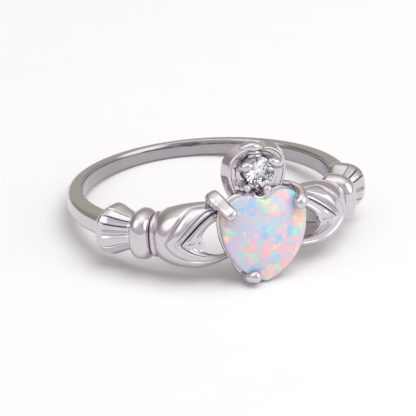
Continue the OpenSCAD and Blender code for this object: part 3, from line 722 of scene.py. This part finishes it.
def crown_form():
    """The crown: two scooped lobes, the leaf on top and the small stone's seat with its claws."""
    form = Form()
    lobe = crown_lobe_grid()
    form.grid(lobe)
    form.grid(lobe * MIRROR)
    leaf(form)
    stone_seat(form)
    crown_foot(form)
    pins(form)
    return form


def adder(tree):
    """A function that adds a node to a tree, with its links and values. A value is a setting of the
    node, or a socket whose name has underscores for its spaces."""

    def add(kind, links=(), **values):
        node = tree.nodes.new(kind)
        for key, value in values.items():
            if hasattr(node, key):
                setattr(node, key, value)
            else:
                node.inputs[key.replace("_", " ")].default_value = value
        for socket, source in links:
            tree.links.new(source, node.inputs[socket])
        return node

    return add


def nodes_of(name):
    """A new material with its links, its surface shader and a function that adds nodes."""
    material = bpy.data.materials.new(name)
    material.use_nodes = True
    tree = material.node_tree
    return material, tree.links, tree.nodes["Principled BSDF"], adder(tree)


def tones(add, value, rows, steps=False):
    """The colours of a ramp over a value, from rows of (position, red, green, blue)."""
    ramp = add("ShaderNodeValToRGB", [("Fac", value)])
    if steps:
        ramp.color_ramp.interpolation = "CONSTANT"
    stops = ramp.color_ramp.elements
    for i, (share, *colour) in enumerate(rows):
        stop = stops[i] if i < 2 else stops.new(share)
        stop.position = share
        stop.color = (*colour, 1)
    return ramp.outputs["Color"]


# How near a wall darkens a groove with painted shade, and the bore's painted shade: its tone, with the radii
# where it begins and ends
CREASE_REACH = 0.11
BORE_SHADE, BORE_SHADE_FROM, BORE_SHADE_TO = 0.62, BORE_R + 0.06, BORE_R + 0.22


def painted_crease_shade(add, colour):
    """The colour with painted shade in the grooves, darker where walls are near."""
    # Painted shade: ambient occlusion darkens the colour in grooves and creases
    crease = add("ShaderNodeAmbientOcclusion", samples=8, Distance=CREASE_REACH * METRES)
    crease_shade = tones(add, crease.outputs["AO"], [(0.2, 0.28, 0.24, 0.24), (0.72, 1, 1, 1)])
    shaded = add("ShaderNodeMixRGB", [("Color1", colour), ("Color2", crease_shade)], blend_type="MULTIPLY", Fac=1)
    return shaded.outputs["Color"]


def painted_bore_shade(add, place, colour):
    """The colour with painted shade in the bore, darker nearer the finger's axis."""
    off = add("ShaderNodeVectorMath", [(0, place)], operation="SUBTRACT")
    off.inputs[1].default_value = AXIS_PLACE * METRES
    turned = add("ShaderNodeVectorMath", [(0, off.outputs["Vector"])], operation="CROSS_PRODUCT")
    turned.inputs[1].default_value = (0, AXIS_SIN, AXIS_COS)
    reach = add("ShaderNodeVectorMath", [(0, turned.outputs["Vector"])], operation="LENGTH")
    # Painted shade: the colour darkens towards the bore, where the ring's inside gets little light
    tone = add(
        "ShaderNodeMapRange", [("Value", reach.outputs["Value"])],
        From_Min=BORE_SHADE_FROM * METRES, From_Max=BORE_SHADE_TO * METRES, To_Min=BORE_SHADE,
    )
    dim = add("ShaderNodeVectorMath", [(0, colour), ("Scale", tone.outputs["Result"])], operation="SCALE")
    return dim.outputs["Vector"]


def silver_material():
    """Polished rhodium plate, with faint cloudiness, fine polishing marks and painted shade in the creases
    and the bore.
    """
    material, links, shader, add = nodes_of("polished_rhodium")
    place = add("ShaderNodeTexCoord").outputs["Object"]
    cloud = add("ShaderNodeTexNoise", [("Vector", place)], Scale=900, Detail=3, Roughness=0.6)
    plate = tones(add, cloud.outputs["Fac"], [(0, 0.60, 0.57, 0.595), (1, 0.69, 0.66, 0.68)])
    # The base colour carries painted shade in the creases and in the bore
    links.new(painted_bore_shade(add, place, painted_crease_shade(add, plate)), shader.inputs["Base Color"])
    gloss = add("ShaderNodeMapRange", [("Value", cloud.outputs["Fac"])], To_Min=0.045, To_Max=0.10)
    links.new(gloss.outputs["Result"], shader.inputs["Roughness"])
    marks = add("ShaderNodeTexNoise", [("Vector", place)], Scale=5200, Detail=2)
    bump = add("ShaderNodeBump", [("Height", marks.outputs["Fac"])], Strength=0.05, Distance=0.00001)
    links.new(bump.outputs["Normal"], shader.inputs["Normal"])
    shader.inputs["Metallic"].default_value = 1
    return material


MILK = [
    # share, red, green, blue
    (0.30, 0.60, 0.56, 0.70),
    (0.45, 0.62, 0.60, 0.70),
    (0.55, 0.50, 0.66, 0.74),
    (0.70, 0.52, 0.72, 0.72),
]
LARGE_PATCHES = [
    # share of the patches where the colour starts, red, green, blue
    (0.00, 0.97, 0.50, 0.52),
    (0.19, 0.99, 0.64, 0.48),
    (0.27, 0.32, 0.60, 0.84),
    (0.42, 0.32, 0.72, 0.80),
    (0.60, 0.36, 0.82, 0.66),
    (0.74, 0.70, 0.84, 0.50),
    (0.83, 0.42, 0.50, 0.84),
    (0.90, 0.86, 0.56, 0.66),
]
SMALL_PATCHES = [
    # share of the patches where the colour starts, red, green, blue
    (0.00, 0.36, 0.68, 0.84),
    (0.26, 0.97, 0.56, 0.54),
    (0.42, 0.42, 0.52, 0.84),
    (0.52, 0.40, 0.84, 0.68),
    (0.72, 0.98, 0.80, 0.48),
    (0.88, 0.66, 0.54, 0.74),
]
PATCH_LAYERS = [
    # cells in a metre, their shape, how far they are warped, colours, share left milky, strength
    (1210, "MANHATTAN", 0.0009, LARGE_PATCHES, 0.42, 0.95),
    (2500, "CHEBYCHEV", 0.00045, SMALL_PATCHES, 0.68, 0.75),
]


def patch_layer(add, place, under, layer):
    """A layer of warped cells of colour, some left clear, over the colour under it."""
    scale, shape, warp, colours, milky, strength = layer
    noise = add("ShaderNodeTexNoise", [("Vector", place)], Scale=scale * 1.5, Detail=5, Roughness=0.75)
    shift = add("ShaderNodeVectorMath", [(0, noise.outputs["Color"])], operation="SCALE", Scale=warp)
    moved = add("ShaderNodeVectorMath", [(0, place), (1, shift.outputs["Vector"])], operation="ADD")
    cells = add("ShaderNodeTexVoronoi", [("Vector", moved.outputs["Vector"])], distance=shape, Scale=scale)
    pick = add("ShaderNodeSeparateColor", [("Color", cells.outputs["Color"])])
    colour = tones(add, pick.outputs["Red"], colours, steps=True)
    lit = add("ShaderNodeMath", [(0, pick.outputs["Green"])], operation="GREATER_THAN")
    lit.inputs[1].default_value = milky
    cloud = add("ShaderNodeTexNoise", [("Vector", place)], Scale=2400, Detail=2)
    depth = add(
        "ShaderNodeMapRange", [("Value", cloud.outputs["Fac"])],
        From_Min=0.3, From_Max=0.65, To_Min=strength * 0.6, To_Max=strength,
    )
    share = add(
        "ShaderNodeMath", [(0, lit.outputs["Value"]), (1, depth.outputs["Result"])], operation="MULTIPLY",
    )
    blend = add("ShaderNodeMixRGB", [("Fac", share.outputs["Value"]), ("Color1", under), ("Color2", colour)])
    return blend.outputs["Color"]


def opal_material():
    """Milky opal with crisp patches of colour of about half a millimetre to a millimetre."""
    material, links, shader, add = nodes_of("white_opal")
    place = add("ShaderNodeTexCoord").outputs["Object"]
    haze = add("ShaderNodeTexNoise", [("Vector", place)], Scale=620, Detail=2)
    colour = tones(add, haze.outputs["Fac"], MILK)
    for layer in PATCH_LAYERS:
        colour = patch_layer(add, place, colour, layer)
    links.new(colour, shader.inputs["Base Color"])
    shader.inputs["Roughness"].default_value = 0.12
    shader.inputs["IOR"].default_value = 1.45
    shader.inputs["Subsurface Weight"].default_value = 0.06
    shader.inputs["Subsurface Radius"].default_value = (0.0003, 0.0003, 0.0003)
    shader.inputs["Coat Weight"].default_value = 0.4
    shader.inputs["Coat Roughness"].default_value = 0.04
    return material


def clear_material():
    """Clear faceted stone with a faint cloud inside."""
    material, links, shader, add = nodes_of("clear_zirconia")
    place = add("ShaderNodeTexCoord").outputs["Object"]
    cloud = add("ShaderNodeTexNoise", [("Vector", place)], Scale=1200, Detail=2)
    tone = tones(add, cloud.outputs["Fac"], [(0, 0.96, 0.97, 1.0), (1, 1.0, 1.0, 1.0)])
    links.new(tone, shader.inputs["Base Color"])
    shader.inputs["Roughness"].default_value = 0.0
    shader.inputs["IOR"].default_value = 2.16
    shader.inputs["Transmission Weight"].default_value = 1.0
    return material


def floor():
    """Plain white paper under the ring."""
    material, links, shader, add = nodes_of("white_paper")
    grain = add("ShaderNodeTexNoise", Scale=900, Detail=3)
    tone = tones(add, grain.outputs["Fac"], [(0, 0.87, 0.865, 0.87), (1, 0.89, 0.885, 0.89)])
    links.new(tone, shader.inputs["Base Color"])
    shader.inputs["Roughness"].default_value = 0.8
    shader.inputs["Specular IOR Level"].default_value = 0.1
    bpy.ops.mesh.primitive_plane_add(size=4)
    sheet = bpy.context.object
    sheet.name = "floor"
    sheet.data.materials.append(material)


FRONT_TONES = [
    # height of the direction, red, green, blue
    (0.00, 0.66, 0.62, 0.67),
    (0.50, 0.74, 0.70, 0.75),
    (0.80, 0.86, 0.83, 0.87),
    (1.00, 1.60, 1.57, 1.60),
]
BACK_TONES = [
    # height of the direction, red, green, blue
    (0.00, 0.50, 0.475, 0.43),
    (0.55, 0.52, 0.50, 0.45),
    (0.80, 0.86, 0.83, 0.80),
    (1.00, 1.45, 1.42, 1.42),
]
SOFT_LIGHTS = [
    # across, back, up, cosine at the edge, cosine where full, light, which is negative for a dark card
    (0.64, -0.62, 0.46, 0.86, 0.97, 1.4),
    (-0.74, -0.04, 0.67, 0.86, 0.97, 0.8),
    (-0.62, 0.74, 0.26, 0.80, 0.97, -0.14),
    (0.04, -0.74, 0.67, 0.955, 0.995, -0.28),
]
GLINTS = [
    # share of the patches where the tone starts, red, green, blue
    (0.00, 0.00, 0.00, 0.01),
    (0.30, 0.30, 0.29, 0.33),
    (0.52, 0.66, 0.65, 0.73),
    (0.84, 1.20, 1.20, 1.25),
]
MATT_LIGHT = 0.62


def room_light(add, way):
    """The room's light from each direction: lilac in front and olive behind, bright overhead, with two
    soft lights and two dark cards."""
    split = add("ShaderNodeSeparateXYZ", [("Vector", way)])
    front = tones(add, split.outputs["Z"], FRONT_TONES)
    back = tones(add, split.outputs["Z"], BACK_TONES)
    toward_back = add(
        "ShaderNodeMapRange", [("Value", split.outputs["Y"])],
        interpolation_type="SMOOTHSTEP", From_Min=-0.1, From_Max=0.5,
    )
    blend = add("ShaderNodeMixRGB", [
        ("Fac", toward_back.outputs["Result"]), ("Color1", front), ("Color2", back),
    ])
    light = blend.outputs["Color"]
    for x, y, z, edge, full, strength in SOFT_LIGHTS:
        near = add("ShaderNodeVectorMath", [(0, way)], operation="DOT_PRODUCT")
        near.inputs[1].default_value = (x, y, z)
        glow = add(
            "ShaderNodeMapRange", [("Value", near.outputs["Value"])],
            interpolation_type="SMOOTHSTEP", From_Min=edge, From_Max=full, To_Max=strength,
        )
        both = add("ShaderNodeVectorMath", [(0, light), (1, glow.outputs["Result"])], operation="ADD")
        light = both.outputs["Vector"]
    return light


def glint_light(add, way):
    """Light in small bright and dark patches all round, for the clear stone's sparkle."""
    cells = add("ShaderNodeTexVoronoi", [("Vector", way)], Scale=5)
    pick = add("ShaderNodeSeparateColor", [("Color", cells.outputs["Color"])])
    return tones(add, pick.outputs["Red"], GLINTS, steps=True)


def studio():
    """The world: the room, with glints for rays that leave the clear stone and less light for matt
    surfaces."""
    world = bpy.data.worlds.new("studio")
    bpy.context.scene.world = world
    world.use_nodes = True
    tree = world.node_tree
    add = adder(tree)
    way = add("ShaderNodeTexCoord").outputs["Generated"]
    rays = add("ShaderNodeLightPath")
    seen = add("ShaderNodeMixRGB", [
        ("Fac", rays.outputs["Is Transmission Ray"]),
        ("Color1", room_light(add, way)),
        ("Color2", glint_light(add, way)),
    ])
    strength = add(
        "ShaderNodeMapRange", [("Value", rays.outputs["Is Diffuse Ray"])], To_Min=1.0, To_Max=MATT_LIGHT,
    )
    background = tree.nodes["Background"]
    tree.links.new(seen.outputs["Color"], background.inputs["Color"])
    tree.links.new(strength.outputs["Result"], background.inputs["Strength"])


# The key light, and the camera, which looks down at the lying ring with the heart a little to its right
KEY_PLACE, KEY_AIM, KEY_W, KEY_L, KEY_POWER = (85, -95, 345), (0, 0, 3), 300, 280, 0.8
CAMERA_PLACE, CAMERA_AIM = (-41.4, -103.0, 59.83), (-0.19, 0.52, 0.58)
CAMERA_LENS, CAMERA_SENSOR = 155.8, 36


def aim(made, place, target):
    """Puts a camera or light at a place in millimetres, turned to a target."""
    made.location = Vector(place) * METRES
    made.rotation_euler = (Vector(target) - Vector(place)).to_track_quat("-Z", "Y").to_euler()


def key_light():
    """A wide soft light overhead, which polished metal doesn't mirror."""
    light = bpy.data.lights.new("key", "AREA")
    light.shape = "RECTANGLE"
    light.size = KEY_W * METRES
    light.size_y = KEY_L * METRES
    light.energy = KEY_POWER
    made = bpy.data.objects.new("key", light)
    bpy.context.collection.objects.link(made)
    made.visible_glossy = False
    aim(made, KEY_PLACE, KEY_AIM)


def camera():
    """The camera, at the photograph's angle."""
    lens = bpy.data.cameras.new("camera")
    lens.sensor_width = CAMERA_SENSOR
    lens.lens = CAMERA_LENS
    lens.clip_start = 0.01
    made = bpy.data.objects.new("camera", lens)
    bpy.context.collection.objects.link(made)
    aim(made, CAMERA_PLACE, CAMERA_AIM)
    bpy.context.scene.camera = made


silver = silver_material()
band_form().piece("band", "ring_body", "silver", silver)
for side_name, flip in (("right", 1), ("left", MIRROR)):
    for form_name, grid in (("cuff", cuff_grid()), ("hand", hand_grid())):
        form = Form()
        form.grid(grid * flip)
        form.piece(f"{side_name}_{form_name}", "ring_body", "silver", silver)
setting_form().piece("heart_setting", "ring_body", "silver", silver)
claws_form().piece("heart_claws", "ring_body", "silver", silver)
crown_form().piece("crown", "ring_body", "silver", silver)
opal_form().piece("opal_dome", "heart_opal", "opal", opal_material())

stone = frame["nodes"]["crown_stone"]
stone.data.materials.clear()
stone.data.materials.append(clear_material())

floor()
studio()
key_light()
camera()
bpy.context.scene.view_settings.view_transform = "Standard"
